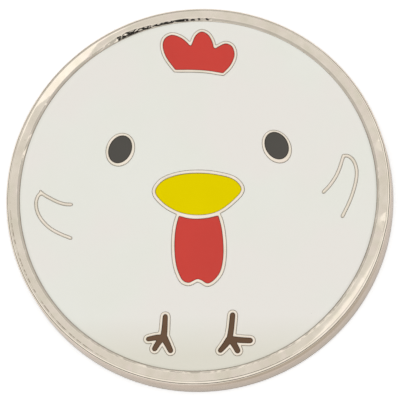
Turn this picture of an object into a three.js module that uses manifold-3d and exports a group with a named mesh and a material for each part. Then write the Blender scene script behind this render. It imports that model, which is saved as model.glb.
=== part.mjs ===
// A golf ball marker: a plated metal coin whose face is a hen drawn in raised metal lines, with coloured
// enamel poured between the lines, and a magnet glued into its back.
// Units are millimetres. The marker lies face up: +Z is up, +Y is the top of the picture, and the origin
// is the middle of the back face.

import * as THREE from "three";
import { mergeVertices } from "three/addons/utils/BufferGeometryUtils.js";
import Module from "manifold-3d";

const wasm = await Module();
wasm.setup();

// The metal coin.
const BODY_RADIUS = 12.5;
const BODY_HEIGHT = 2.6;
const RIM_WIDTH = 0.9;
const RIM_INNER_DROP = 0.04; // the rim is highest in the middle of its width
const RIM_CROWN_WIDTH = 0.3; // how far that slope reaches outwards from the rim's inner edge
const SHOULDER_RADIUS = 0.28;
const BACK_EDGE_RADIUS = 0.22;
const RECESS_DEPTH = 0.6;
const LINE_DROP = 0.03; // the raised lines end this far below the top of the rim
const ENAMEL_DROP = 0.06; // and the enamel this far
const GAP = 0.02; // between a piece and the metal round it

// The magnet in the back.
const MAGNET_RADIUS = 5;
const MAGNET_HEIGHT = 1;
const MAGNET_CHAMFER = 0.12;
const MAGNET_INSET = 0.03; // the magnet sits this far inside the back face
const GLUE_HEIGHT = 0.1;
const GLUE_CHAMFER = 0.03;
const POCKET_CLEARANCE = 0.06;

// Widths of the raised lines.
const FINE_LINE = 0.17;
const BOLD_LINE = 0.21;
const WING_HALF_WIDTH = 0.1;

// Facets.
const ROUND_SEGMENTS = 96;
const FILLET_SEGMENTS = 4;
const MAGNET_SEGMENTS = 48;
const CAP_SEGMENTS = 6;
const EYE_SEGMENTS = 32;
const STEPS_PER_SPAN = 3; // facets between two named points of a smooth outline

// Heights worked out from the sizes above.
const RIM_INNER_RADIUS = BODY_RADIUS - RIM_WIDTH;
const FLOOR = BODY_HEIGHT - RECESS_DEPTH;
const LINE_TOP = BODY_HEIGHT - LINE_DROP;
const ENAMEL_TOP = BODY_HEIGHT - ENAMEL_DROP;
const POCKET_RADIUS = MAGNET_RADIUS + POCKET_CLEARANCE;
const GLUE_BOTTOM = MAGNET_INSET + MAGNET_HEIGHT + GAP;
const POCKET_DEPTH = GLUE_BOTTOM + GLUE_HEIGHT + GAP;
const SUNK = 0.1; // how far a raised line is rooted in the floor under it

// The picture. Each smooth stretch is a list of [x, y] points on it, and stretches meet at corners.
const COMB = [
  [[-1.55, 8.39], [-0.48, 8.38], [0.57, 8.3], [1.55, 8.12]],
  [[1.55, 8.12], [2.02, 8.65], [2.26, 9.33], [2.09, 9.87], [1.72, 10.05], [1.29, 9.88], [0.92, 9.65]],
  [[0.92, 9.65], [0.81, 10.18], [0.52, 10.68], [0.12, 10.87], [-0.23, 10.65], [-0.43, 10.21], [-0.57, 9.84]],
  [
    [-0.57, 9.84], [-0.91, 10.24], [-1.33, 10.54], [-1.85, 10.68], [-2.25, 10.46], [-2.38, 10.03],
    [-2.18, 9.3], [-1.55, 8.39],
  ],
];
const BEAK = [
  [2.8, 0.33], [2.39, 0.93], [1.27, 1.3], [-0.03, 1.43], [-1.28, 1.32], [-2.31, 0.92],
  [-2.74, 0.28], [-2.35, -0.35], [-1.27, -1.06], [0.02, -1.3], [1.24, -1.1], [2.27, -0.37],
];
const WATTLE = [
  [[1.34, -1.41], [0.66, -1.56], [0.02, -1.61], [-0.61, -1.56], [-1.19, -1.4]],
  [
    [-1.19, -1.4], [-1.37, -2.17], [-1.44, -3.32], [-1.34, -4.47], [-1.15, -5.13], [-0.85, -5.65],
    [-0.5, -5.77], [-0.18, -5.62],
  ],
  [[-0.18, -5.62], [0.07, -5.53], [0.37, -5.64]],
  [
    [0.37, -5.64], [0.7, -5.83], [1.05, -5.66], [1.47, -5.13], [1.66, -4.27], [1.67, -3.27],
    [1.54, -2.17], [1.34, -1.41],
  ],
];
const LEFT_EYE = { centre: [-5.09, 3.1], long: 0.92, short: 0.71, turn: 67 };
const LEFT_EYE_RING = { centre: [-5.08, 3.08], long: 1.12, short: 0.92, turn: 72 };
const RIGHT_EYE = { centre: [5.09, 3.21], long: 0.93, short: 0.7, turn: 119 };
const RIGHT_EYE_RING = { centre: [5.1, 3.15], long: 1.16, short: 0.88, turn: 120 };

// Strokes are a centreline and the half width at its first and last point.
const LEFT_FOOT = [
  { line: [[-2, -8.01], [-2.05, -8.97], [-2.12, -9.47]], from: 0.13, to: 0.2 },
  { line: [[-2.13, -9.39], [-2.63, -9.4], [-3.08, -9.48]], from: 0.18, to: 0.12 },
  { line: [[-2.23, -9.47], [-2.45, -9.77], [-2.66, -10.12]], from: 0.17, to: 0.14 },
  { line: [[-2.05, -9.42], [-1.84, -9.82], [-1.63, -10.25]], from: 0.2, to: 0.14 },
];
const RIGHT_FOOT = [
  { line: [[2.35, -7.95], [2.27, -8.87], [2.17, -9.52]], from: 0.14, to: 0.16 },
  { line: [[2.19, -9.52], [2.87, -9.6], [3.5, -9.64]], from: 0.17, to: 0.15 },
  { line: [[2.15, -9.55], [1.88, -9.93], [1.59, -10.27]], from: 0.2, to: 0.13 },
  { line: [[2.3, -9.61], [2.52, -9.97], [2.7, -10.3]], from: 0.18, to: 0.15 },
];
const WING_LINES = [
  [[-10.2, 0.29], [-9.93, 0.09], [-9.51, -0.15], [-9.06, -0.37], [-8.63, -0.5], [-8.22, -0.53]],
  [
    [-10.2, 0.29], [-10.42, 0.03], [-10.52, -0.42], [-10.43, -0.97], [-10.15, -1.5], [-9.65, -2.03],
    [-9, -2.43], [-8.22, -2.76],
  ],
  [[8.14, 0.09], [8.52, 0.5], [8.92, 1.09], [9.17, 1.65], [9.31, 2.11], [9.43, 2.49]],
  [
    [9.43, 2.49], [9.72, 2.47], [10.04, 2.21], [10.25, 1.69], [10.28, 1.11], [10.13, 0.33],
    [9.84, -0.54], [9.38, -1.53],
  ],
].map((line) => ({ line, from: WING_HALF_WIDTH, to: WING_HALF_WIDTH }));
const WING_TIP = { line: [[-10.21, 0.24], [-10.23, 0.32], [-10.25, 0.4]], from: 0.15, to: 0.06 };

const METAL = { color: 0xd8cfc2, roughness: 0.22, metalness: 1 };
const MAGNET_PLATING = { color: 0xc9ccd0, roughness: 0.3, metalness: 1 };
const GLUE = { color: 0xd9d4c4, roughness: 0.5, metalness: 0 };
const WHITE = { color: 0xf1f0ea, roughness: 0.12, metalness: 0 };
const RED = { color: 0xc92a25, roughness: 0.12, metalness: 0 };
const YELLOW = { color: 0xe6c800, roughness: 0.12, metalness: 0 };
const BLACK = { color: 0x24211f, roughness: 0.12, metalness: 0 };
const BROWN = { color: 0x5b3a26, roughness: 0.12, metalness: 0 };

// ---- Outlines: lists of THREE.Vector2, counter-clockwise ----

function counterClockwise(points) {
  return THREE.ShapeUtils.area(points) < 0 ? points.reverse() : points;
}

// Points along a smooth curve through [x, y] pairs. A closed curve doesn't repeat its first point.
function smoothPoints(pairs, closed) {
  const places = pairs.map(([x, y]) => new THREE.Vector3(x, y, 0));
  const curve = new THREE.CatmullRomCurve3(places, closed, "centripetal");
  const spans = closed ? pairs.length : pairs.length - 1;
  const points = curve.getPoints(spans * STEPS_PER_SPAN).map(({ x, y }) => new THREE.Vector2(x, y));
  return closed ? points.slice(0, -1) : points;
}

// A closed outline of smooth stretches, each of which begins where the one before it ends.
function corneredOutline(stretches) {
  return counterClockwise(stretches.flatMap((pairs) => smoothPoints(pairs, false).slice(0, -1)));
}

function distanceToSegment(point, start, end) {
  const along = end.clone().sub(start);
  const share = THREE.MathUtils.clamp(point.clone().sub(start).dot(along) / along.lengthSq(), 0, 1);
  return point.distanceTo(start.clone().addScaledVector(along, share));
}

function distanceToOutline(point, outline) {
  return Math.min(...outline.map((start, i) => distanceToSegment(point, start, outline.at(i - 1))));
}

// The outline that runs a distance outside another. In a notch the two sides would cross each other, so
// the points that come too close to the other side are left out.
function grownOutline(outline, distance) {
  const moved = outline.map((point, i) => {
    const along = outline[(i + 1) % outline.length].clone().sub(outline.at(i - 1)).normalize();
    return new THREE.Vector2(point.x + along.y * distance, point.y - along.x * distance);
  });
  return moved.filter((point) => distanceToOutline(point, outline) > distance * 0.97);
}

function arcPoints(centre, radius, startAngle, sweep, segments) {
  return Array.from({ length: segments + 1 }, (_, i) => {
    const angle = startAngle + (sweep * i) / segments;
    return new THREE.Vector2(centre.x + radius * Math.cos(angle), centre.y + radius * Math.sin(angle));
  });
}

function circleOutline(radius) {
  return arcPoints(new THREE.Vector2(), radius, 0, 2 * Math.PI, ROUND_SEGMENTS).slice(0, -1);
}

function ellipseOutline({ centre: [x, y], long, short, turn }, grow) {
  const curve = new THREE.EllipseCurve(
    x, y, long + grow, short + grow, 0, 2 * Math.PI, false, THREE.MathUtils.degToRad(turn),
  );
  return curve.getPoints(EYE_SEGMENTS).slice(0, -1);
}

// The outline of a pen stroke with round ends.
function strokeOutline({ line, from, to }, grow) {
  const centres = smoothPoints(line, false);
  const last = centres.length - 1;
  const halfWidth = (i) => THREE.MathUtils.lerp(from, to, i / last) + grow;
  const heading = (i) => {
    const ahead = centres[Math.min(i + 1, last)];
    const behind = centres[Math.max(i - 1, 0)];
    return ahead.clone().sub(behind).angle();
  };
  const beside = (i, side) => {
    const angle = heading(i) + (side * Math.PI) / 2;
    const reach = new THREE.Vector2(Math.cos(angle), Math.sin(angle)).multiplyScalar(halfWidth(i));
    return centres[i].clone().add(reach);
  };
  const inner = centres.map((_, i) => i).slice(1, -1);
  return [
    ...arcPoints(centres[0], halfWidth(0), heading(0) + Math.PI / 2, Math.PI, CAP_SEGMENTS),
    ...inner.map((i) => beside(i, -1)),
    ...arcPoints(centres[last], halfWidth(last), heading(last) - Math.PI / 2, Math.PI, CAP_SEGMENTS),
    ...inner.reverse().map((i) => beside(i, 1)),
  ];
}

// ---- Solids ----

function solidFrom(geometry) {
  const bare = geometry.clone();
  bare.deleteAttribute("normal");
  bare.deleteAttribute("uv");
  const merged = mergeVertices(bare, 1e-5);
  const corners = merged.index.array;
  const triVerts = [];
  for (let i = 0; i < corners.length; i += 3) {
    const [a, b, c] = corners.slice(i, i + 3);
    if (a !== b && b !== c && c !== a) triVerts.push(a, b, c);
  }
  return new wasm.Manifold(
    new wasm.Mesh({
      numProp: 3,
      vertProperties: merged.attributes.position.array,
      triVerts: new Uint32Array(triVerts),
    }),
  );
}

function geometryFrom(solid) {
  const { vertProperties, triVerts } = solid.getMesh();
  const geometry = new THREE.BufferGeometry();
  geometry.setAttribute("position", new THREE.BufferAttribute(vertProperties, 3));
  geometry.setIndex(new THREE.BufferAttribute(triVerts, 1));
  geometry.computeVertexNormals();
  return geometry;
}

// An upright solid on an outline.
function prism(outline, bottom, top) {
  const geometry = new THREE.ExtrudeGeometry(new THREE.Shape(outline), {
    depth: top - bottom,
    bevelEnabled: false,
  });
  return solidFrom(geometry.translate(0, 0, bottom));
}

// Upright solids on several outlines, joined.
function prisms(outlines, bottom, top) {
  return outlines.map((outline) => prism(outline, bottom, top)).reduce((all, one) => all.add(one));
}

// A solid of revolution about Z from a profile of (radius, height) points that runs upwards on its outside.
function turned(profile, segments) {
  const geometry = new THREE.LatheGeometry(profile, segments);
  return solidFrom(geometry.rotateX(Math.PI / 2));
}

function point(radius, height) {
  return new THREE.Vector2(radius, height);
}

// ---- The picture's patches of colour: each gives its outlines, grown by a distance ----

const combOutline = corneredOutline(COMB);
const beakOutline = counterClockwise(smoothPoints(BEAK, true));
const wattleOutline = corneredOutline(WATTLE);

const comb = (grow) => [grow ? grownOutline(combOutline, grow) : combOutline];
const beak = (grow) => [grow ? grownOutline(beakOutline, grow) : beakOutline];
const wattle = (grow) => [grow ? grownOutline(wattleOutline, grow) : wattleOutline];
const ellipse = (eye) => (grow) => [ellipseOutline(eye, grow)];
const strokes = (foot) => (grow) => foot.map((stroke) => strokeOutline(stroke, grow));
const widened = (patch, width) => (grow) => patch(width + grow);

const PATCHES = [
  { name: "comb_enamel", fill: comb, wall: widened(comb, GAP + FINE_LINE), paint: RED },
  { name: "beak_enamel", fill: beak, wall: widened(beak, GAP + BOLD_LINE), paint: YELLOW },
  { name: "wattle_enamel", fill: wattle, wall: widened(wattle, GAP + BOLD_LINE), paint: RED },
  { name: "left_eye_enamel", fill: ellipse(LEFT_EYE), wall: ellipse(LEFT_EYE_RING), paint: BLACK },
  { name: "right_eye_enamel", fill: ellipse(RIGHT_EYE), wall: ellipse(RIGHT_EYE_RING), paint: BLACK },
  {
    name: "left_foot_enamel",
    fill: strokes(LEFT_FOOT),
    wall: widened(strokes(LEFT_FOOT), GAP + FINE_LINE),
    paint: BROWN,
  },
  {
    name: "right_foot_enamel",
    fill: strokes(RIGHT_FOOT),
    wall: widened(strokes(RIGHT_FOOT), GAP + FINE_LINE),
    paint: BROWN,
  },
];

const wings = strokes([...WING_LINES, WING_TIP]);

// ---- The pieces ----

// The coin: rim, floor and raised lines in one metal piece, with the magnet's pocket in its back.
function markerBody() {
  const profile = [
    point(0, POCKET_DEPTH),
    point(POCKET_RADIUS, POCKET_DEPTH),
    point(POCKET_RADIUS, 0),
    ...arcPoints(
      point(BODY_RADIUS - BACK_EDGE_RADIUS, BACK_EDGE_RADIUS),
      BACK_EDGE_RADIUS, -Math.PI / 2, Math.PI / 2, FILLET_SEGMENTS,
    ),
    ...arcPoints(
      point(BODY_RADIUS - SHOULDER_RADIUS, BODY_HEIGHT - SHOULDER_RADIUS),
      SHOULDER_RADIUS, 0, Math.PI / 2, FILLET_SEGMENTS,
    ),
    point(RIM_INNER_RADIUS + RIM_CROWN_WIDTH, BODY_HEIGHT),
    point(RIM_INNER_RADIUS, BODY_HEIGHT - RIM_INNER_DROP),
    point(RIM_INNER_RADIUS, FLOOR),
    point(0, FLOOR),
  ];
  const lines = [...PATCHES.map(({ wall }) => wall(0)), wings(0)].flat();
  const wells = PATCHES.flatMap(({ fill }) => fill(GAP));
  return turned(profile, ROUND_SEGMENTS)
    .add(prisms(lines, FLOOR - SUNK, LINE_TOP))
    .subtract(prisms(wells, FLOOR, BODY_HEIGHT));
}

// The white ground, which surrounds every raised line.
function whiteEnamel() {
  const ground = prism(circleOutline(RIM_INNER_RADIUS - GAP), FLOOR + GAP, ENAMEL_TOP);
  const cuts = [...PATCHES.map(({ wall }) => wall(GAP)), wings(GAP)].flat();
  return ground.subtract(prisms(cuts, FLOOR, BODY_HEIGHT));
}

// A disc about Z with both its edges chamfered.
function roundDisc(bottom, height, chamfer) {
  const top = bottom + height;
  const profile = [
    point(0, bottom),
    point(MAGNET_RADIUS - chamfer, bottom),
    point(MAGNET_RADIUS, bottom + chamfer),
    point(MAGNET_RADIUS, top - chamfer),
    point(MAGNET_RADIUS - chamfer, top),
    point(0, top),
  ];
  return turned(profile, MAGNET_SEGMENTS);
}

function piece(name, solid, look) {
  const mesh = new THREE.Mesh(geometryFrom(solid), new THREE.MeshStandardMaterial(look));
  mesh.name = name;
  return mesh;
}

const marker = new THREE.Group();
marker.add(piece("marker_body", markerBody(), METAL));
marker.add(piece("white_enamel", whiteEnamel(), WHITE));
for (const { name, fill, paint } of PATCHES) {
  marker.add(piece(name, prisms(fill(0), FLOOR + GAP, ENAMEL_TOP), paint));
}
marker.add(piece("magnet_disc", roundDisc(MAGNET_INSET, MAGNET_HEIGHT, MAGNET_CHAMFER), MAGNET_PLATING));
marker.add(piece("magnet_adhesive", roundDisc(GLUE_BOTTOM, GLUE_HEIGHT, GLUE_CHAMFER), GLUE));

export default marker;
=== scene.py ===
"""Looks for the golf ball marker: a plated coin with raised lines, glossy enamel between them, and a
magnet in its back.

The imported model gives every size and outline. Lengths are in millimetres until a mesh is made.
"""

import math

import bmesh
import bpy
import numpy as np
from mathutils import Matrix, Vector, kdtree, noise
from mathutils.geometry import delaunay_2d_cdt


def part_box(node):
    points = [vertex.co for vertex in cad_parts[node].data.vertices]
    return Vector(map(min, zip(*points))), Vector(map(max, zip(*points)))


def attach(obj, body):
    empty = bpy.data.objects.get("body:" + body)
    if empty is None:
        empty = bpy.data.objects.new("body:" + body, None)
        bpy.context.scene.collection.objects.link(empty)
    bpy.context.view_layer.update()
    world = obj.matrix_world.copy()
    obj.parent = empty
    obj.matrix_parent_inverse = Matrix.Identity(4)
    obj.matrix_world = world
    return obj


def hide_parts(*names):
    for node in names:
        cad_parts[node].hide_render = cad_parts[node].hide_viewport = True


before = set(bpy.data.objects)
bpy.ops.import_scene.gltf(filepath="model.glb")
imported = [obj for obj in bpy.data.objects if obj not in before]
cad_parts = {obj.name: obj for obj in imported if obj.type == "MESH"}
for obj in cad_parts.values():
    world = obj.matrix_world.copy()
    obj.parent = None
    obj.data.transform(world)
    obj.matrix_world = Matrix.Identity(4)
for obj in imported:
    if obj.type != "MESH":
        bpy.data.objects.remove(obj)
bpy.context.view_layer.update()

MM = 0.001


# ---- Sizes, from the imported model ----


def box_mm(node):
    """Lowest and highest corner of a CAD node."""
    low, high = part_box(node)
    return low / MM, high / MM


_, body_high = box_mm("marker_body")
enamel_low, enamel_high = box_mm("white_enamel")
magnet_low, magnet_high = box_mm("magnet_disc")
glue_low, glue_high = box_mm("magnet_adhesive")

GAP = 0.02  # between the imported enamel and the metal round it
LINE_DROP = 0.03  # the raised lines end this far below the top of the rim
POCKET_CLEARANCE = 0.06  # between the magnet and the side of its pocket
BODY_RADIUS = body_high.x
BODY_HEIGHT = body_high.z
LINE_TOP = BODY_HEIGHT - LINE_DROP
ENAMEL_TOP = enamel_high.z
FLOOR = enamel_low.z - GAP
RIM_INNER_RADIUS = enamel_high.x + GAP
POCKET_RADIUS = magnet_high.x + POCKET_CLEARANCE
POCKET_DEPTH = glue_high.z + GAP

# The rim, worn by polishing: an inner slope up to a ridge, a crown that falls outwards, a round shoulder.
RIDGE_RADIUS = RIM_INNER_RADIUS + 0.18
RIDGE_HEIGHT = BODY_HEIGHT - 0.008
INNER_SLOPE = math.radians(15)
INNER_DROP = (RIDGE_RADIUS - RIM_INNER_RADIUS) * math.tan(INNER_SLOPE)
CROWN_SLOPES = (math.radians(4.5), math.radians(7.5))
SHOULDER_RADIUS = 0.28
SHOULDER_START = BODY_RADIUS - SHOULDER_RADIUS * (1 - math.sin(CROWN_SLOPES[1]))
SHOULDER_HEIGHT = RIDGE_HEIGHT - (SHOULDER_START - RIDGE_RADIUS) * math.tan(sum(CROWN_SLOPES) / 2)
SIDE_TOP = SHOULDER_HEIGHT - SHOULDER_RADIUS * math.cos(CROWN_SLOPES[1])
INNER_EDGE_ROUND = 0.02
INNER_EDGE_WANDER = 0.004  # how far the foot of the inner slope wanders up and down
BACK_EDGE_RADIUS = 0.22
POCKET_EDGE_ROUND = 0.07

# Where rings of points lie on the rim's top: distances outwards from the ridge.
TOP_RINGS = (-0.12, -0.08, -0.045, -0.025, -0.01, 0, 0.01, 0.025, 0.06, 0.1, 0.15, 0.2, 0.25, 0.3, 0.35, 0.4)

# Worn places: azimuth, half width, and how much more the crown slopes there, all in degrees.
CROWN_WEAR = ((137, 13.5, 4.4), (322, 22, 2.8), (15, 2.0, 4.2), (351, 3.0, 5.0))
# Worn places: azimuth and half width in degrees, and how much lower the inner edge is there.
INNER_WEAR = ((94, 14, 0.02), (114, 9, 0.06), (322, 14, 0.008))
# Rippled places: azimuth, half width and more ripple of the inner slope, all in degrees.
INNER_ROUGHNESS = ((103, 25, 2.2),)

# Rounded edges beside each groove between metal and enamel.
LINE_EDGE_WIDTH = 0.042
LINE_EDGE_DROP = 0.03
BARE_LINE_EDGE_WIDTH = 0.076  # on lines with no coloured enamel inside
ENAMEL_EDGE_WIDTH = 0.05
ENAMEL_EDGE_DROP = 0.035
HOLD = 0.014  # an extra ring this far inside a rounded edge keeps the flat part flat
TOUCH = 0.004  # what is left of the gap between enamel and metal
ENAMEL_DIP = 0.0035  # the most that the polished enamel dips between its edges

# The magnet's bed of glue.
SKIRT_LOW = 0.2  # the squeezed-out glue reaches down to this height
SKIRT_ROUND = 0.015
GLUE_RAGGEDNESS = 0.09
MAGNET_BEVEL = 0.12
BACK_SEGMENTS = 192  # round the magnet and the glue

# Fineness.
OUTLINE_STEP = 0.04
ROUND_SEGMENTS = 1024
ENAMEL_GRID = 0.35
CORNER_TURN = math.radians(40)  # a sharper turn than this is a corner of the drawing
LEAST_EDGE = 0.012


# ---- Outlines: (n, 2) arrays with the material on their left ----


def flat_outlines(node, height):
    """The outlines of a CAD node's upward faces at a height."""
    mesh = bmesh.new()
    mesh.from_mesh(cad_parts[node].data)
    bmesh.ops.remove_doubles(mesh, verts=mesh.verts, dist=1e-7)
    mesh.normal_update()
    near = 2e-6
    level = {
        face
        for face in mesh.faces
        if face.normal.z > 0.99 and all(abs(v.co.z - height * MM) < near for v in face.verts)
    }
    following = {}
    for face in mesh.faces:
        for corner in face.loops if face in level else ():
            if sum(other in level for other in corner.edge.link_faces) == 1:
                following[corner.vert.index] = corner.link_loop_next.vert.index
    mesh.verts.ensure_lookup_table()
    places = {i: mesh.verts[i].co.xy / MM for i in following}
    mesh.free()
    outlines = []
    while following:
        start = next(iter(following))
        chain, here = [], start
        while here in following:
            chain.append(places[here])
            here = following.pop(here)
        outlines.append(np.array(chain))
    return outlines


def edge_vectors(points):
    """For each point, the edges that arrive at it and leave it."""
    leaving = np.roll(points, -1, axis=0) - points
    return np.roll(leaving, 1, axis=0), leaving


def turns(points):
    """The angle by which the outline turns at each point."""
    arriving, leaving = edge_vectors(points)
    cross = arriving[:, 0] * leaving[:, 1] - arriving[:, 1] * leaving[:, 0]
    return np.arctan2(cross, (arriving * leaving).sum(axis=1))


def without_short_edges(points):
    kept = [points[0]]
    for point in points[1:]:
        if np.linalg.norm(point - kept[-1]) > LEAST_EDGE:
            kept.append(point)
    if np.linalg.norm(kept[0] - kept[-1]) < LEAST_EDGE:
        kept.pop()
    return np.array(kept)


def span_points(before, start, end, after, step):
    """Points from start up to, but not including, end on a centripetal Catmull-Rom curve."""
    knots = [0.0]
    for a, b in ((before, start), (start, end), (end, after)):
        knots.append(knots[-1] + max(np.linalg.norm(b - a), 1e-6) ** 0.5)
    count = max(1, round(np.linalg.norm(end - start) / step))
    t = np.linspace(knots[1], knots[2], count, endpoint=False)[:, None]

    def between(a, b, low, high):
        return (a * (high - t) + b * (t - low)) / (high - low)

    first = between(before, start, knots[0], knots[1])
    middle = between(start, end, knots[1], knots[2])
    last = between(end, after, knots[2], knots[3])
    first_two = between(first, middle, knots[0], knots[2])
    last_two = between(middle, last, knots[1], knots[3])
    return between(first_two, last_two, knots[1], knots[2])


def smooth_outline(points):
    """A faceted outline as a fine smooth one, with its corners slightly rounded."""
    points = without_short_edges(points)
    corner = np.abs(turns(points)) > CORNER_TURN
    count = len(points)
    fine = []
    for i in range(count):
        j = (i + 1) % count
        start, end = points[i], points[j]
        before = 2 * start - end if corner[i] else points[i - 1]
        after = 2 * end - start if corner[j] else points[(j + 1) % count]
        fine.append(span_points(before, start, end, after, OUTLINE_STEP))
    fine = np.concatenate(fine)
    for _ in range(2):
        fine = (np.roll(fine, 1, axis=0) + 2 * fine + np.roll(fine, -1, axis=0)) / 4
    return fine


def circle(radius, segments=ROUND_SEGMENTS):
    angles = np.arange(segments) * 2 * math.pi / segments
    return radius * np.stack([np.cos(angles), np.sin(angles)], axis=1)


def distances_to_outline(points, outline):
    """How far each point is from a closed outline."""
    start = outline[None, :, :]
    along = (np.roll(outline, -1, axis=0) - outline)[None, :, :]
    offset = points[:, None, :] - start
    share = np.clip((offset * along).sum(2) / (along**2).sum(2), 0, 1)
    return np.linalg.norm(offset - share[:, :, None] * along, axis=2).min(axis=1)


def inset(outline, distance):
    """The outline that runs a distance inside the material. Points that would cross the other side go."""
    if distance == 0:
        return outline
    arriving, leaving = edge_vectors(outline)
    arriving = arriving / np.linalg.norm(arriving, axis=1)[:, None]
    leaving = leaving / np.linalg.norm(leaving, axis=1)[:, None]
    heading = arriving + leaving
    heading /= np.linalg.norm(heading, axis=1)[:, None]
    reach = abs(distance) / np.clip((heading * leaving).sum(1), 0.3, 1)
    left = np.stack([-heading[:, 1], heading[:, 0]], axis=1)
    moved = outline + math.copysign(1, distance) * reach[:, None] * left
    return moved[distances_to_outline(moved, outline) > 0.999 * abs(distance)]


def signed_area(outline):
    after = np.roll(outline, -1, axis=0)
    return (outline[:, 0] * after[:, 1] - outline[:, 1] * after[:, 0]).sum() / 2


def inside(points, outlines):
    """Whether each point is in the region that the outlines bound, by the even-odd rule."""
    odd = np.zeros(len(points), bool)
    for outline in outlines:
        low, high = outline.min(0), outline.max(0)
        near = np.flatnonzero(((points >= low) & (points <= high)).all(1))
        x, y = points[near, 0][:, None], points[near, 1][:, None]
        x0, y0 = outline[:, 0][None], outline[:, 1][None]
        x1, y1 = np.roll(outline[:, 0], -1)[None], np.roll(outline[:, 1], -1)[None]
        spans = (y0 > y) != (y1 > y)
        rise = np.where(spans, y1 - y0, 1)
        hits = spans & (x < (x1 - x0) * (y - y0) / rise + x0)
        odd[near] ^= hits.sum(1) % 2 == 1
    return odd


# ---- Meshes ----


class Surface:
    """The vertices and faces of one mesh while it is made."""

    def __init__(self):
        self.places = []
        self.faces = []

    def ring(self, points, height):
        """Adds a closed ring of points at a height, or at one height for each point."""
        first = len(self.places)
        heights = np.broadcast_to(height, len(points))
        self.places.extend((x, y, z) for (x, y), z in zip(points, heights))
        return list(range(first, len(self.places)))

    def band(self, lower, upper):
        """Joins two rings of as many points, with the outside on their right."""
        for i in range(len(lower)):
            j = (i + 1) % len(lower)
            self.faces.append((lower[i], lower[j], upper[j], upper[i]))

    def sheet(self, rings, outlines, loose=(), upward=True):
        """Fills the region that the outlines bound with triangles between the rings and loose points."""
        used = [i for ring in rings for i in ring] + list(loose)
        flat = [Vector(self.places[i][:2]) for i in used]
        edges, first = [], 0
        for ring in rings:
            count = len(ring)
            edges += [(first + i, first + (i + 1) % count) for i in range(count)]
            first += count
        points, _, triangles, sources, _, _ = delaunay_2d_cdt(flat, edges, [], 0, 1e-6)
        places = np.array([tuple(p) for p in points])
        triangles = np.array(triangles)
        kept = triangles[inside(places[triangles].mean(axis=1), outlines)]
        for triangle in kept:
            corners = [used[sources[i][0]] for i in triangle]
            self.faces.append(tuple(corners if upward else corners[::-1]))

    def piece(self, name, material, smooth_below=math.radians(50)):
        """The finished object, riding on the only body."""
        mesh = bpy.data.meshes.new(name)
        mesh.from_pydata([tuple(MM * c for c in place) for place in self.places], [], self.faces)
        mesh.validate()
        mesh.shade_smooth()
        mesh.set_sharp_from_angle(angle=smooth_below)
        mesh.materials.append(material)
        piece = bpy.data.objects.new(name, mesh)
        bpy.context.scene.collection.objects.link(piece)
        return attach(piece, "root")


def rounded_edge(width, drop, steps=4):
    """(distance inwards, height below the top) at each step of a quarter-round edge, from its foot up."""
    for i in range(steps + 1):
        angle = i / steps * math.pi / 2
        yield width * (1 - math.cos(angle)), drop * (1 - math.sin(angle))


def edged_rings(surface, outline, top, width, drop, hold=HOLD):
    """Rings for a rounded edge along an outline. The first one is the outline at the foot of the edge."""
    rings = [
        surface.ring(inset(outline, distance), top - below)
        for distance, below in rounded_edge(width, drop)
    ]
    rings.append(surface.ring(inset(outline, width + hold), top))
    return rings


def arc(centre, radius, start, end, steps):
    """Profile points on an arc, with angles in degrees."""
    angles = np.radians(np.linspace(start, end, steps + 1))
    return [(centre[0] + radius * math.cos(a), centre[1] + radius * math.sin(a)) for a in angles]


def wobble(x, y, scale, seed):
    """Smooth noise from about -1 to 1 whose features are about scale mm wide."""
    return noise.noise(Vector((x / scale, y / scale, seed)))


# ---- The metal coin ----


def hump(azimuth, humps):
    """The sum of round humps along the rim."""
    total = 0
    for middle, half_width, size in humps:
        off = (azimuth - middle + 180) % 360 - 180
        total += size * max(0, 1 - (off / half_width) ** 2)
    return total


def rim_top(radius, x, y):
    """The height of the rim's top at a radius, in the direction of (x, y)."""
    azimuth = math.degrees(math.atan2(y, x))
    reach = radius - RIDGE_RADIUS
    rough_patch = 0.6 + hump(azimuth, INNER_ROUGHNESS)
    ripple = wobble(x, y, 0.5, 4.2) + wobble(x, y, 0.16, 6.4)
    inner_slope = INNER_SLOPE + math.radians(rough_patch * ripple)
    inner_height = RIDGE_HEIGHT - INNER_DROP - hump(azimuth, INNER_WEAR)
    inner_height -= INNER_EDGE_WANDER * (1 + wobble(x, y, 1.7, 2.2))
    rising = inner_height + (radius - RIM_INNER_RADIUS) * math.tan(inner_slope)
    width = SHOULDER_START - RIDGE_RADIUS
    first, last = CROWN_SLOPES
    slope = first + (last - first) * max(0, reach) / (2 * width)
    more = 0.9 * wobble(x, y, 3.0, 3.1) + 0.2 * wobble(x, y, 0.8, 7.7) + hump(azimuth, CROWN_WEAR)
    return min(rising, RIDGE_HEIGHT - reach * math.tan(slope + math.radians(more)))


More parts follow.
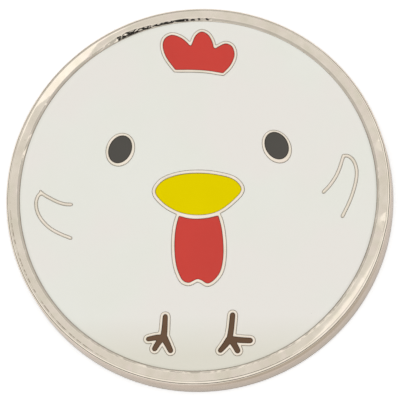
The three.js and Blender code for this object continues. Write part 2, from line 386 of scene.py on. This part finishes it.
def rim_profile():
    """(radius, height) from the floor over the rim, down the side and across the back to the pocket."""
    edge = INNER_EDGE_ROUND
    slope_start = RIM_INNER_RADIUS + edge * (1 - math.sin(INNER_SLOPE))
    slope_foot = RIDGE_HEIGHT - (RIDGE_RADIUS - slope_start) * math.tan(INNER_SLOPE)
    edge_centre = (RIM_INNER_RADIUS + edge, slope_foot - edge * math.cos(INNER_SLOPE))
    profile = [(RIM_INNER_RADIUS, FLOOR), (RIM_INNER_RADIUS, (FLOOR + edge_centre[1]) / 2)]
    profile += arc(edge_centre, edge, 180, 90 + math.degrees(INNER_SLOPE), 3)
    profile += [(RIDGE_RADIUS + reach, RIDGE_HEIGHT) for reach in TOP_RINGS]
    shoulder_centre = (BODY_RADIUS - SHOULDER_RADIUS, SIDE_TOP)
    profile += arc(shoulder_centre, SHOULDER_RADIUS, 90 - math.degrees(CROWN_SLOPES[1]), 0, 12)
    side_height = SIDE_TOP - BACK_EDGE_RADIUS
    profile += [(BODY_RADIUS, SIDE_TOP - side_height * i / 4) for i in range(1, 4)]
    profile += arc((BODY_RADIUS - BACK_EDGE_RADIUS, BACK_EDGE_RADIUS), BACK_EDGE_RADIUS, 0, -90, 8)
    back_end = BODY_RADIUS - BACK_EDGE_RADIUS
    pocket_start = POCKET_RADIUS + POCKET_EDGE_ROUND
    profile += [(back_end + (pocket_start - back_end) * i / 4, 0) for i in range(1, 4)]
    profile += arc((pocket_start, POCKET_EDGE_ROUND), POCKET_EDGE_ROUND, 270, 180, 4)
    profile += [(POCKET_RADIUS, POCKET_DEPTH / 2), (POCKET_RADIUS, POCKET_DEPTH)]
    return profile


def worn(x, y, z):
    """The height of a rim point after wear."""
    radius = math.hypot(x, y)
    if z <= SIDE_TOP or radius < RIM_INNER_RADIUS - TOUCH:
        return z
    if z == RIDGE_HEIGHT:
        return rim_top(radius, x, y)
    if radius > RIDGE_RADIUS:
        share = min(1, (z - SIDE_TOP) / (SHOULDER_HEIGHT - SIDE_TOP))
        return z + share * (rim_top(SHOULDER_START, x, y) - SHOULDER_HEIGHT)
    return z + rim_top(RIM_INNER_RADIUS, x, y) - (RIDGE_HEIGHT - INNER_DROP)


def coin(outlines, material):
    """Rim, floor and raised lines as one closed mesh, with the magnet's pocket in the back."""
    surface = Surface()
    rings = [surface.ring(circle(radius), height) for radius, height in rim_profile()]
    for outer, inner in zip(rings, rings[1:]):
        surface.band(outer[::-1], inner[::-1])
    middle = len(surface.places)
    surface.places.append((0, 0, POCKET_DEPTH))
    pocket = rings[-1]
    for i in range(len(pocket)):
        surface.faces.append((middle, pocket[(i + 1) % len(pocket)], pocket[i]))

    line_tops, feet = [], []
    for outline in outlines:
        others = [other[:1] for other in outlines if other is not outline]
        bare = signed_area(outline) > 0 and not any(inside(other, [outline])[0] for other in others)
        width, hold = (BARE_LINE_EDGE_WIDTH, HOLD / 2) if bare else (LINE_EDGE_WIDTH, HOLD)
        edge = edged_rings(surface, outline, LINE_TOP, width, LINE_EDGE_DROP, hold)
        foot = surface.ring(outline, FLOOR)
        surface.band(foot, edge[0])
        line_tops += edge
        feet.append(foot)
    surface.sheet(line_tops, outlines)
    surface.sheet([rings[0], *feet], [circle(RIM_INNER_RADIUS), *outlines])

    surface.places = [(x, y, worn(x, y, z)) for x, y, z in surface.places]
    return surface.piece("plated_coin", material)


# ---- Enamel ----


def grid_points(outlines, step, clear):
    """A staggered grid of points inside the region, away from its outlines."""
    low = np.min([o.min(0) for o in outlines], axis=0)
    high = np.max([o.max(0) for o in outlines], axis=0)
    rows = np.arange(low[1], high[1], step * math.sqrt(3) / 2)
    points = np.array(
        [(x + step / 2 * (k % 2), y) for k, y in enumerate(rows) for x in np.arange(low[0], high[0], step)]
    )
    points = points[inside(points, outlines)]
    edges = np.concatenate(outlines)
    tree = kdtree.KDTree(len(edges))
    for i, (x, y) in enumerate(edges):
        tree.insert((x, y, 0), i)
    tree.balance()
    far = [tree.find((x, y, 0))[2] > clear for x, y in points]
    return points[far] if len(points) else points


def enamel_level(x, y):
    """How far the polished enamel dips here."""
    return ENAMEL_DIP * (1 + wobble(x, y, 3.5, 1.3)) / 2


def enamel(name, node, outlines, material):
    """One patch of enamel: rounded along the metal, nearly flat on top, with a flat hidden underside."""
    surface = Surface()
    tops, feet = [], []
    for outline in outlines:
        edge = edged_rings(surface, outline, ENAMEL_TOP, ENAMEL_EDGE_WIDTH, ENAMEL_EDGE_DROP)
        foot = surface.ring(outline, FLOOR + TOUCH)
        surface.band(foot, edge[0])
        tops += edge
        feet.append(foot)
    spread = grid_points(outlines, ENAMEL_GRID, clear=ENAMEL_GRID / 2)
    loose = surface.ring(spread, ENAMEL_TOP) if len(spread) else []
    surface.sheet(tops, outlines, loose)
    surface.sheet(feet, outlines, upward=False)
    surface.places = [
        (x, y, z - enamel_level(x, y) if z > ENAMEL_TOP - ENAMEL_EDGE_DROP * 1.5 else z)
        for x, y, z in surface.places
    ]
    piece = surface.piece(name, material)
    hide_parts(node)
    return piece


# ---- Magnet and glue ----


def turned(surface, profile, segments, vary=None):
    """A closed solid of revolution from (radius, height) points that start and end on the axis."""
    rings = []
    for radius, height in profile[1:-1]:
        points = circle(radius, segments)
        heights = [height + (vary(x, y, height) if vary else 0) for x, y in points]
        rings.append(surface.ring(points, heights))
    for lower, upper in zip(rings, rings[1:]):
        surface.band(lower, upper)
    for ring, height, turn in ((rings[0], profile[0][1], -1), (rings[-1], profile[-1][1], 1)):
        middle = len(surface.places)
        surface.places.append((0, 0, height))
        order = ring[::turn]
        for i in range(len(order)):
            surface.faces.append((middle, order[i], order[(i + 1) % len(order)]))


def magnet(material):
    radius, low, high = magnet_high.x, magnet_low.z, magnet_high.z
    bevel = MAGNET_BEVEL
    steps = [radius * i / 8 for i in range(1, 8)]
    profile = [(0, low)] + [(r, low) for r in steps if r < radius - bevel]
    profile += arc((radius - bevel, low + bevel), bevel, -90, 0, 6)
    profile += arc((radius - bevel, high - bevel), bevel, 0, 90, 6)
    profile += [(radius / 2, high), (0, high)]
    surface = Surface()
    turned(surface, profile, BACK_SEGMENTS)
    piece = surface.piece("magnet", material)
    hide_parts("magnet_disc")
    return piece


def glue(material):
    """The bed of glue, with the rim of it that was squeezed down into the gap round the magnet."""
    skirt_outer = POCKET_RADIUS - TOUCH
    skirt_inner = magnet_high.x + TOUCH
    bed_low, bed_high = glue_low.z, glue_high.z

    def ragged(x, y, height):
        return GLUE_RAGGEDNESS * wobble(x, y, 1.1, 5.5) if height < bed_low / 2 else 0

    profile = [(0, bed_low), (skirt_inner * 0.6, bed_low), (skirt_inner, bed_low)]
    profile += [(skirt_inner, SKIRT_LOW + SKIRT_ROUND), ((skirt_inner + skirt_outer) / 2, SKIRT_LOW)]
    profile += [(skirt_outer, SKIRT_LOW + SKIRT_ROUND), (skirt_outer, bed_high)]
    profile += [(skirt_outer * 0.6, bed_high), (0, bed_high)]
    surface = Surface()
    turned(surface, profile, BACK_SEGMENTS, vary=ragged)
    piece = surface.piece("magnet_glue", material)
    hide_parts("magnet_adhesive")
    return piece


# ---- Materials ----


class Nodes:
    """Short ways to build a node tree."""

    def __init__(self, tree):
        self.tree = tree

    def add(self, kind, inputs=None, **settings):
        node = self.tree.nodes.new("ShaderNode" + kind)
        for name, value in settings.items():
            setattr(node, name, value)
        for name, value in (inputs or {}).items():
            if isinstance(value, bpy.types.NodeSocket):
                self.tree.links.new(value, node.inputs[name])
            else:
                node.inputs[name].default_value = value
        return node

    def range(self, value, low, high, to_low=0.0, to_high=1.0):
        inputs = {"Value": value, "From Min": low, "From Max": high, "To Min": to_low, "To Max": to_high}
        return self.add("MapRange", inputs).outputs[0]

    def math(self, operation, a, b=0.0):
        return self.add("Math", {0: a, 1: b}, operation=operation).outputs[0]

    def mix(self, share, a, b):
        """A mix of two colours, each a socket or (r, g, b)."""
        a, b = (c if isinstance(c, bpy.types.NodeSocket) else (*c, 1) for c in (a, b))
        return self.add("Mix", {0: share, 6: a, 7: b}, data_type="RGBA").outputs[2]


class Shader(Nodes):
    """One material. Its patterns are in millimetres."""

    def __init__(self, name, **fixed):
        self.material = bpy.data.materials.new(name)
        self.material.use_nodes = True
        super().__init__(self.material.node_tree)
        self.principled = self.tree.nodes["Principled BSDF"]
        for socket, value in fixed.items():
            self.principled.inputs[socket.replace("_", " ")].default_value = value
        place = self.add("TexCoord").outputs["Object"]
        self.place = self.add("VectorMath", {0: place, "Scale": 1 / MM}, operation="SCALE").outputs[0]

    def noise(self, width, detail, stretch=(1, 1, 1), turn=0):
        """Noise with features about width mm wide, stretched and turned about Z."""
        place = self.add(
            "Mapping", {"Vector": self.place, "Rotation": (0, 0, math.radians(turn)), "Scale": stretch}
        ).outputs[0]
        node = self.add("TexNoise", {"Vector": place, "Scale": 1 / width, "Detail": detail})
        return node.outputs["Fac"]

    def specks(self, spacing, radius):
        """1 in small round spots spacing mm apart, 0 between them."""
        cells = self.add("TexVoronoi", {"Vector": self.place, "Scale": 1 / spacing})
        return self.range(cells.outputs["Distance"], radius / spacing, radius / spacing * 0.6, 0, 1)

    def height(self):
        return self.add("SeparateXYZ", {0: self.place}).outputs["Z"]

    def radius(self):
        flat = self.add("VectorMath", {0: self.place, 1: (1, 1, 0)}, operation="MULTIPLY").outputs[0]
        return self.add("VectorMath", {0: flat}, operation="LENGTH").outputs["Value"]

    def toward(self, azimuth):
        """How far towards an azimuth in degrees, from the coin's axis."""
        a = math.radians(azimuth)
        way = (math.cos(a), math.sin(a), 0)
        return self.add("VectorMath", {0: self.place, 1: way}, operation="DOT_PRODUCT").outputs["Value"]

    def bump(self, height, size, normal=None):
        """Relief whose height input of 0 to 1 spans size mm."""
        inputs = {"Height": height, "Distance": size * MM, "Strength": 1.0}
        if normal is not None:
            inputs["Normal"] = normal
        return self.add("Bump", inputs).outputs[0]

    def finish(self, colour=None, roughness=None, normal=None):
        for name, value in (("Base Color", colour), ("Roughness", roughness), ("Normal", normal)):
            if value is not None:
                self.tree.links.new(value, self.principled.inputs[name])
        return self.material


# Where the wear and stains are, as azimuths in degrees.
RIM_DARKENING_FADE_SIDE = 62  # the azimuth towards which the painted shade at the foot of the rim and the darker enamel beside the rim fade out
SCRATCHED_SIDE = 212  # the azimuth at which a fine line is scratched into the rim
AGED_SIDE = 270  # the azimuth towards which the white enamel has yellowed
DARK_REFLECTION_SIDE = 306  # the azimuth round which a golden brown reflection is painted on the metal under its shoulder


def plated_metal():
    """Warm nickel plate: polished on top, duller, darker and streaked at the side, with painted shade in the
    grooves, at the foot of the rim and low on the side, and a painted dark reflection under the shoulder.
    """
    s = Shader("nickel_plate", Metallic=1.0, Specular_Tint=(0.76, 0.7, 0.64, 1))
    cloud = s.range(s.noise(1.3, 3), 0.35, 0.65)
    tint = s.mix(cloud, (0.715, 0.645, 0.535), (0.785, 0.71, 0.605))
    blush = s.range(s.noise(0.8, 2, turn=40), 0.5, 0.7, 0, 0.5)
    tint = s.mix(blush, tint, (0.78, 0.675, 0.60))
    moss = s.range(s.noise(0.9, 2, turn=80), 0.52, 0.72, 0, 0.5)
    tint = s.mix(moss, tint, (0.68, 0.635, 0.51))

    below_top = s.range(s.height(), SIDE_TOP + 0.2, SIDE_TOP + 0.1)
    streaks = s.range(s.noise(0.16, 3, stretch=(0.05, 0.05, 1)), 0.34, 0.66)
    # The side is darker than the top: partly a duller plate, partly painted shade. Painted shade also darkens
    # and greys it towards the bottom, and a painted contact shadow lies along its foot.
    side = s.mix(streaks, (0.50, 0.435, 0.375), (0.59, 0.515, 0.455))
    side = s.mix(s.range(s.height(), 1.7, 0.3), side, (0.47, 0.435, 0.40))
    side = s.mix(s.range(s.height(), 0.45, 0.25), side, (0.21, 0.185, 0.155))
    # Painted reflection: a golden brown band high on the side, just under the shoulder, round one azimuth.
    dark_reflection = s.math("MULTIPLY", s.range(s.height(), 1.7, 1.95), s.range(s.toward(DARK_REFLECTION_SIDE), 9.5, 11.8))
    side = s.mix(dark_reflection, side, (0.375, 0.315, 0.245))
    outside = s.range(s.radius(), SHOULDER_START - 0.05, SHOULDER_START + 0.05)
    on_side = s.math("MULTIPLY", below_top, outside)
    tint = s.mix(on_side, tint, side)

    # Painted shade: the metal walls of the grooves in the picture are darkened below the tops of the lines.
    in_picture = s.range(s.radius(), RIM_INNER_RADIUS - 0.01, RIM_INNER_RADIUS - 0.02)
    low_down = s.range(s.height(), LINE_TOP - 0.004, LINE_TOP - LINE_EDGE_DROP)
    painted_shade_and_scratch = s.math("MULTIPLY", s.math("MULTIPLY", in_picture, low_down), 0.62)
    # Painted shade: a dark line along the foot of the rim's inner wall and the start of its slope, faded out
    # towards one side.
    rim_foot_shade = s.range(s.radius(), RIM_INNER_RADIUS + 0.06, RIM_INNER_RADIUS + 0.01)
    not_picture = s.math("SUBTRACT", 1.0, in_picture)
    rim_foot_shade = s.math("MULTIPLY", rim_foot_shade, s.math("MULTIPLY", not_picture, s.noise(1.6, 2)))
    top_side = s.range(s.height(), FLOOR - 0.1, FLOOR)
    rim_foot_shade = s.math("MULTIPLY", rim_foot_shade, s.range(s.toward(RIM_DARKENING_FADE_SIDE), 8.5, 10.5, 1, 0))
    painted_shade_and_scratch = s.math("MAXIMUM", painted_shade_and_scratch, s.math("MULTIPLY", rim_foot_shade, top_side))
    scratch = s.math("ABSOLUTE", s.math("SUBTRACT", s.radius(), SHOULDER_START - 0.045))
    scratch = s.math("MULTIPLY", s.range(scratch, 0.04, 0.02), s.range(s.noise(0.3, 2), 0.48, 0.56, 0.15, 1))
    scratch = s.math("MULTIPLY", scratch, s.range(s.toward(SCRATCHED_SIDE), 10.4, 11.4))
    painted_shade_and_scratch = s.math("MAXIMUM", painted_shade_and_scratch, s.math("MULTIPLY", scratch, 0.75))
    pits = s.math("MULTIPLY", s.specks(0.55, 0.035), s.range(s.noise(2.2, 1), 0.5, 0.6))
    shade_and_dirt = s.math("MAXIMUM", painted_shade_and_scratch, s.math("MULTIPLY", pits, 0.45))
    # One dark colour for the painted shade in the grooves and at the rim's foot, and for the scratch and the
    # pits.
    colour = s.mix(shade_and_dirt, tint, (0.20, 0.155, 0.105))

    hairs = s.noise(0.02, 1, stretch=(1, 0.03, 0.3), turn=25)
    more_hairs = s.noise(0.026, 1, stretch=(1, 0.04, 0.3), turn=-50)
    brushing = s.math("MULTIPLY", hairs, more_hairs)
    rough = s.range(s.noise(0.6, 3), 0.35, 0.65, 0.035, 0.08)
    rough = s.math("ADD", rough, s.math("MULTIPLY", shade_and_dirt, 0.3))
    rough = s.math("ADD", rough, s.math("MULTIPLY", below_top, 0.16))
    normal = s.bump(brushing, 0.0002)
    normal = s.bump(s.noise(0.6, 2), 0.002, normal)
    side_lines = s.math("MULTIPLY", s.noise(0.05, 2, stretch=(0.03, 0.03, 1)), on_side)
    normal = s.bump(side_lines, 0.003, normal)
    return s.finish(colour, rough, normal)


def enamel_paint(name, light, dark, tint=(1, 1, 1), other=None):
    """Glossy hard enamel: slightly uneven colour, faint orange peel, pinholes, painted shade where its edges
    dip into the grooves, darker beside the rim.
    """
    s = Shader(name, IOR=1.5, Specular_Tint=(*tint, 1))
    cloud = s.range(s.noise(4.0, 3), 0.3, 0.7)
    colour = s.mix(cloud, light, dark)
    if other:
        colour = s.mix(s.range(s.noise(5.5, 2, turn=30), 0.42, 0.62), colour, other)
        aged = tuple(share * c for share, c in zip((0.92, 0.885, 0.84), dark))
        colour = s.mix(s.range(s.toward(AGED_SIDE), 8.0, 10.6), colour, aged)
    # Painted shade: the enamel darkens where its rounded edge dips into the groove beside the metal. The same
    # dark colour marks the pinholes.
    edge = s.range(s.height(), ENAMEL_TOP - 0.008, ENAMEL_TOP - ENAMEL_EDGE_DROP)
    shade_and_pinhole_colour = tuple(0.42 * c for c in dark)
    colour = s.mix(s.math("MULTIPLY", edge, 0.85), colour, shade_and_pinhole_colour)
    # Darker within 0.22 mm of the rim, in patches, fading out towards one side.
    by_rim = s.range(s.radius(), RIM_INNER_RADIUS - 0.22, RIM_INNER_RADIUS)
    by_rim = s.math("MULTIPLY", s.math("POWER", by_rim, 1.5), s.range(s.noise(2.6, 2), 0.3, 0.7, 0.15, 0.5))
    by_rim = s.math("MULTIPLY", by_rim, s.range(s.toward(RIM_DARKENING_FADE_SIDE), 8.5, 10.5, 1, 0))
    colour = s.mix(by_rim, colour, tuple(share * c for share, c in zip((0.62, 0.61, 0.55), dark)))
    pinholes = s.math("MULTIPLY", s.specks(1.3, 0.03), s.range(s.noise(3.1, 1, turn=15), 0.55, 0.6))
    colour = s.mix(s.math("MULTIPLY", pinholes, 0.35), colour, shade_and_pinhole_colour)
    rough = s.range(s.noise(1.4, 3), 0.3, 0.7, 0.05, 0.12)
    normal = s.bump(s.noise(0.35, 2), 0.0008)
    normal = s.bump(s.noise(2.5, 2), 0.004, normal)
    return s.finish(colour, rough, normal)


def magnet_plating():
    """Satin nickel over sintered magnet: fine grain, rubbed edges and a few scuffs."""
    s = Shader("magnet_plating", Metallic=1.0)
    colour = s.mix(s.range(s.noise(0.8, 3), 0.35, 0.65), (0.56, 0.57, 0.59), (0.66, 0.67, 0.69))
    worn = s.range(s.radius(), magnet_high.x - 0.3, magnet_high.x, 0, 0.7)
    colour = s.mix(s.math("MULTIPLY", worn, s.noise(0.4, 3)), colour, (0.38, 0.38, 0.4))
    scuffs = s.range(s.noise(0.05, 2, stretch=(1, 0.04, 1), turn=65), 0.6, 0.75)
    rough = s.math("ADD", s.range(s.noise(0.3, 4), 0.3, 0.7, 0.24, 0.36), s.math("MULTIPLY", scuffs, 0.15))
    normal = s.bump(s.noise(0.06, 3), 0.002)
    normal = s.bump(scuffs, 0.002, normal)
    return s.finish(colour, rough, normal)


def cured_glue():
    """Cloudy cream epoxy with tiny bubbles."""
    s = Shader("cured_epoxy", IOR=1.52)
    colour = s.mix(s.range(s.noise(0.5, 3), 0.3, 0.7), (0.62, 0.57, 0.44), (0.74, 0.7, 0.6))
    bubbles = s.specks(0.22, 0.03)
    colour = s.mix(s.math("MULTIPLY", bubbles, 0.4), colour, (0.4, 0.36, 0.27))
    rough = s.range(s.noise(0.25, 3), 0.3, 0.7, 0.25, 0.5)
    return s.finish(colour, rough, s.bump(s.noise(0.15, 3), 0.01))


# ---- The object ----


def nearest_well(wells, node):
    """The outline whose box is centred closest to a CAD node's, turned so that the enamel is on its left."""
    low, high = box_mm(node)
    middle = np.array([(low.x + high.x) / 2, (low.y + high.y) / 2])
    return min(wells, key=lambda o: np.linalg.norm((o.min(0) + o.max(0)) / 2 - middle))[::-1]


line_outlines = [smooth_outline(outline) for outline in flat_outlines("marker_body", LINE_TOP)]
walls = [outline for outline in line_outlines if signed_area(outline) > 0]
wells = [outline for outline in line_outlines if signed_area(outline) < 0]

metal = plated_metal()
body = coin(line_outlines, metal)
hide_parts("marker_body")

WHITES = ((0.86, 0.858, 0.788), (0.845, 0.845, 0.765), (0.87, 0.838, 0.778))
white = enamel_paint("white_enamel_paint", *WHITES[:2], other=WHITES[2])
ground_outlines = [circle(RIM_INNER_RADIUS - TOUCH)]
ground_outlines += [inset(wall[::-1], TOUCH) for wall in walls]
ground = enamel("enamel_ground", "white_enamel", ground_outlines, white)

red = enamel_paint("red_enamel_paint", (0.64, 0.022, 0.014), (0.60, 0.019, 0.012), (1, 0.97, 0.82))
yellow = enamel_paint("yellow_enamel_paint", (0.83, 0.67, 0.0), (0.80, 0.64, 0.0), (1, 0.9, 0.0))
black = enamel_paint("black_enamel_paint", (0.050, 0.043, 0.032), (0.041, 0.036, 0.026))
brown = enamel_paint("brown_enamel_paint", (0.125, 0.052, 0.018), (0.095, 0.038, 0.011), (1, 0.98, 0.85))

PAINTS = {
    "comb": (red, "red_enamel"),
    "beak": (yellow, "yellow_enamel"),
    "wattle": (red, "red_enamel"),
    "left_eye": (black, "black_enamel"),
    "right_eye": (black, "black_enamel"),
    "left_foot": (brown, "brown_enamel"),
    "right_foot": (brown, "brown_enamel"),
}
for part, (paint, slot) in PAINTS.items():
    node = part + "_enamel"
    outline = inset(nearest_well(wells, node), TOUCH)
    enamel("enamel_" + part, node, [outline], paint)

magnet(magnet_plating())
glue(cured_glue())


# ---- Floor, light and camera ----


CAMERA_AZIMUTH = 24.4  # degrees from straight below the picture, anticlockwise
CAMERA_TILT = 14.5  # degrees off the coin's axis
FLOOR_HALF_SIZE = 3.0  # in metres
FLOOR_LEVEL = -0.01  # just below the coin

PAPER_GLOW = 0.45  # the paper lies on a light table

# How bright the tent is, by the upward part of a direction.
TENT_LEVELS = ((0.0, 0.06), (0.2, 0.08), (0.32, 0.55), (0.42, 1.2), (0.7, 1.18), (0.85, 1.06), (1.0, 1.02))


def studio_floor():
    mesh = bpy.data.meshes.new("floor")
    half, level = FLOOR_HALF_SIZE, FLOOR_LEVEL * MM
    corners = [(-half, -half, level), (half, -half, level), (half, half, level), (-half, half, level)]
    mesh.from_pydata(corners, [], [(0, 1, 2, 3)])
    s = Shader("white_paper", Roughness=0.7, Emission_Color=(1, 1, 1, 1), Emission_Strength=PAPER_GLOW)
    paper = s.mix(s.noise(40, 2), (0.88, 0.88, 0.88), (0.9, 0.9, 0.9))
    mesh.materials.append(s.finish(paper))
    floor = bpy.data.objects.new("floor", mesh)
    bpy.context.scene.collection.objects.link(floor)


class Sky(Nodes):
    """A soft tent of light. Azimuths and distances are about the direction that a flat top mirrors."""

    def __init__(self):
        world = bpy.data.worlds.new("light_tent")
        world.use_nodes = True
        bpy.context.scene.world = world
        super().__init__(world.node_tree)
        parts = self.add("SeparateXYZ", {0: self.add("TexCoord").outputs["Generated"]}).outputs
        a, t = math.radians(CAMERA_AZIMUTH), math.radians(CAMERA_TILT)
        self.up = parts["Z"]
        self.x = self.math("ADD", parts["X"], math.sin(a) * math.sin(t))
        self.y = self.math("SUBTRACT", parts["Y"], math.cos(a) * math.sin(t))
        self.away = self.math(
            "SQRT", self.math("ADD", self.math("POWER", self.x, 2.0), self.math("POWER", self.y, 2.0))
        )
        self.colour = self.grey(self.levels(self.up, TENT_LEVELS))

    def levels(self, value, stops):
        """A brightness from a value of 0 to 1, by straight lines between stops."""
        curve = self.add("FloatCurve", {"Value": value})
        points = curve.mapping.curves[0].points
        while len(points) < len(stops):
            points.new(0.5, 0.5)
        for point, (place, level) in zip(points, stops):
            point.location = (place, level / 2)
            point.handle_type = "VECTOR"
        curve.mapping.update()
        return self.math("MULTIPLY", curve.outputs[0], 2.0)

    def grey(self, level):
        return self.add("CombineColor", {0: level, 1: level, 2: level}).outputs[0]

    def cover(self, share, colour):
        self.colour = self.mix(share, self.colour, colour)

    def roof(self, inner, outer, level):
        """The tent's plain roof, which fades into its sides."""
        self.cover(self.range(self.away, outer, inner), self.grey(level))

    def round_box(self, radius, level):
        self.cover(self.range(self.away, radius, radius - 0.01), self.grey(level))

    def seam(self, inner, outer, level):
        """A dimmer ring of the tent."""
        middle, half = (inner + outer) / 2, (outer - inner) / 2
        past = self.math("SUBTRACT", self.math("ABSOLUTE", self.math("SUBTRACT", self.away, middle)), half)
        self.cover(self.range(past, 0.02, 0.0), self.grey(level))

    def card(self, azimuth, near, far, half_width, level):
        """A plain flat card that reaches from near to far."""
        a = math.radians(azimuth)
        along = self.math("ADD", self.math("MULTIPLY", self.x, math.cos(a)),
                          self.math("MULTIPLY", self.y, math.sin(a)))
        across = self.math("SUBTRACT", self.math("MULTIPLY", self.y, math.cos(a)),
                           self.math("MULTIPLY", self.x, math.sin(a)))
        past_end = self.math("ABSOLUTE", self.math("SUBTRACT", along, (near + far) / 2))
        past_end = self.math("SUBTRACT", past_end, (far - near) / 2)
        past_side = self.math("SUBTRACT", self.math("ABSOLUTE", across), half_width)
        outside = self.math("MAXIMUM", past_end, past_side)
        self.cover(self.range(outside, 0.01, 0.0), self.grey(level))

    def finish(self):
        self.tree.links.new(self.colour, self.tree.nodes["Background"].inputs["Color"])


def studio_sky():
    """A plain soft tent with a round box overhead, two white cards and a black one.

    The cards give the polished rim something to mirror, near where the photograph's rim is light and dark.
    """
    sky = Sky()
    sky.roof(0.3, 0.36, 0.91)
    sky.seam(0.44, 0.62, 0.66)
    sky.round_box(0.09, 1.15)
    sky.card(137, 0.27, 0.39, 0.12, 1.35)
    sky.card(322, 0.34, 0.45, 0.19, 1.25)
    sky.card(286, 0.43, 0.56, 0.13, 0.03)
    sky.finish()


def camera(azimuth, tilt, distance, aim_right, aim_down, view_width):
    """A long lens, tilt degrees off the coin's axis. Lengths are in mm."""
    a, t = math.radians(azimuth), math.radians(tilt)
    back = Vector((math.sin(a) * math.sin(t), -math.cos(a) * math.sin(t), math.cos(t)))
    turn = Vector((0, 0, 1)).rotation_difference(back)
    right, up = turn @ Vector((1, 0, 0)), turn @ Vector((0, 1, 0))
    aim = Vector((0, 0, BODY_HEIGHT)) + aim_right * right - aim_down * up
    data = bpy.data.cameras.new("camera")
    data.sensor_width = 36
    data.lens = data.sensor_width * distance / view_width
    made = bpy.data.objects.new("camera", data)
    made.rotation_mode = "QUATERNION"
    made.rotation_quaternion = turn
    made.location = (aim + distance * back) * MM
    bpy.context.scene.collection.objects.link(made)
    bpy.context.scene.camera = made


studio_floor()
studio_sky()
camera(CAMERA_AZIMUTH, CAMERA_TILT, distance=400, aim_right=0.154, aim_down=0.338, view_width=25.83)
bpy.context.scene.view_settings.view_transform = "Standard"
